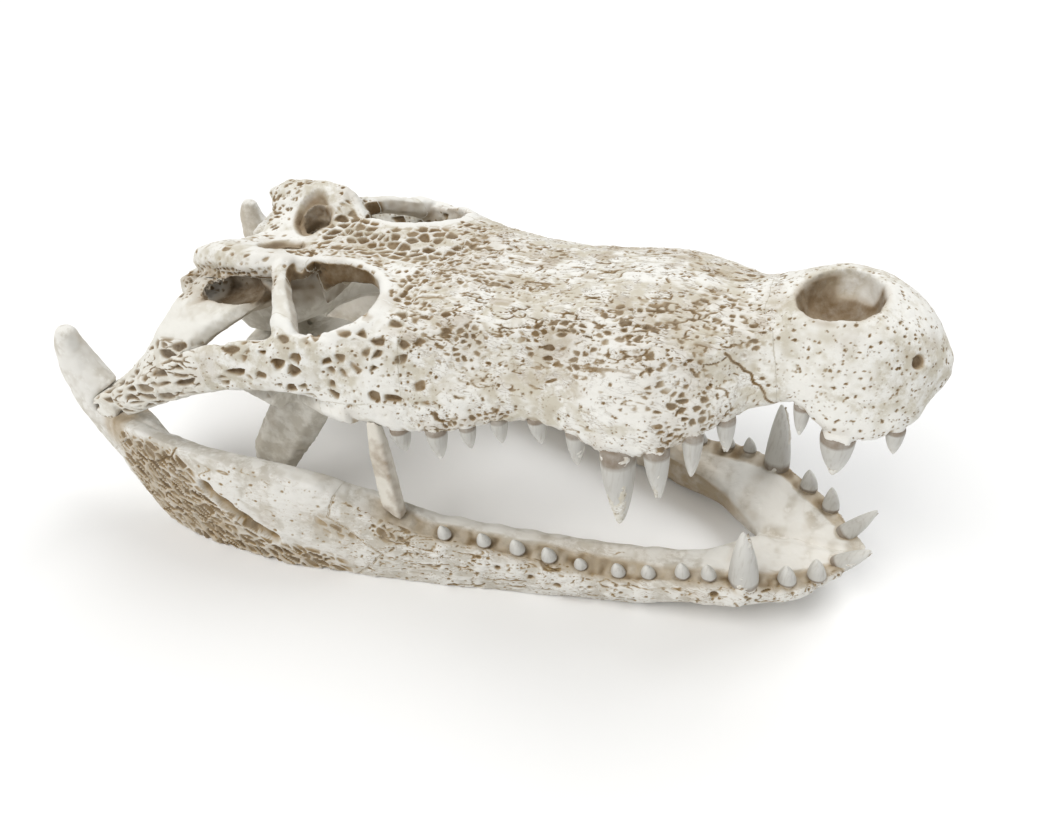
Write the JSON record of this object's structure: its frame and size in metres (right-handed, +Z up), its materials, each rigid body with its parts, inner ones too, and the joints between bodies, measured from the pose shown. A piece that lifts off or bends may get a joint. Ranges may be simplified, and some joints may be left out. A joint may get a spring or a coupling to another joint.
{
  "type": "crocodile skull with lower jaw",
  "caption": "Life-size skull of a grown crocodile, lower jaw held open on two short props, resting on the lower jaw.",
  "frame": {"origin": "middle of the whole object's box, on the floor", "axes": "+X toward the snout, +Y toward the animal's left, +Z up"},
  "size_m": [0.5992, 0.2916, 0.245],
  "materials": {
    "weathered_bone": "off-white pitted bone with brown wash in the pits",
    "smooth_bone": "smooth cream-white bone",
    "shaded_bone": "cream bone with brown stain",
    "jaw_bone": "off-white grooved bone, tan beside the teeth",
    "prop": "matt grey-cream bar"
  },
  "bodies": {
    "root": {"premaxilla": "weathered_bone", "nasals": "weathered_bone", "frontal": "weathered_bone", "palatines": "shaded_bone", "skull_table": "weathered_bone", "braincase": "shaded_bone", "maxilla_right": "weathered_bone", "maxilla_left": "weathered_bone", "jugal_right": "weathered_bone", "jugal_left": "weathered_bone", "postorbital_bar_right": "smooth_bone", "postorbital_bar_left": "smooth_bone", "quadrate_right": "smooth_bone", "quadrate_left": "smooth_bone", "pterygoid_right": "shaded_bone", "pterygoid_left": "shaded_bone", "dentary_right": "jaw_bone", "dentary_left": "jaw_bone", "angular_right": "jaw_bone", "angular_left": "jaw_bone", "articular_right": "jaw_bone", "articular_left": "jaw_bone", "stand_prop_right": "prop", "stand_prop_left": "prop"}
  },
  "joints": []
}
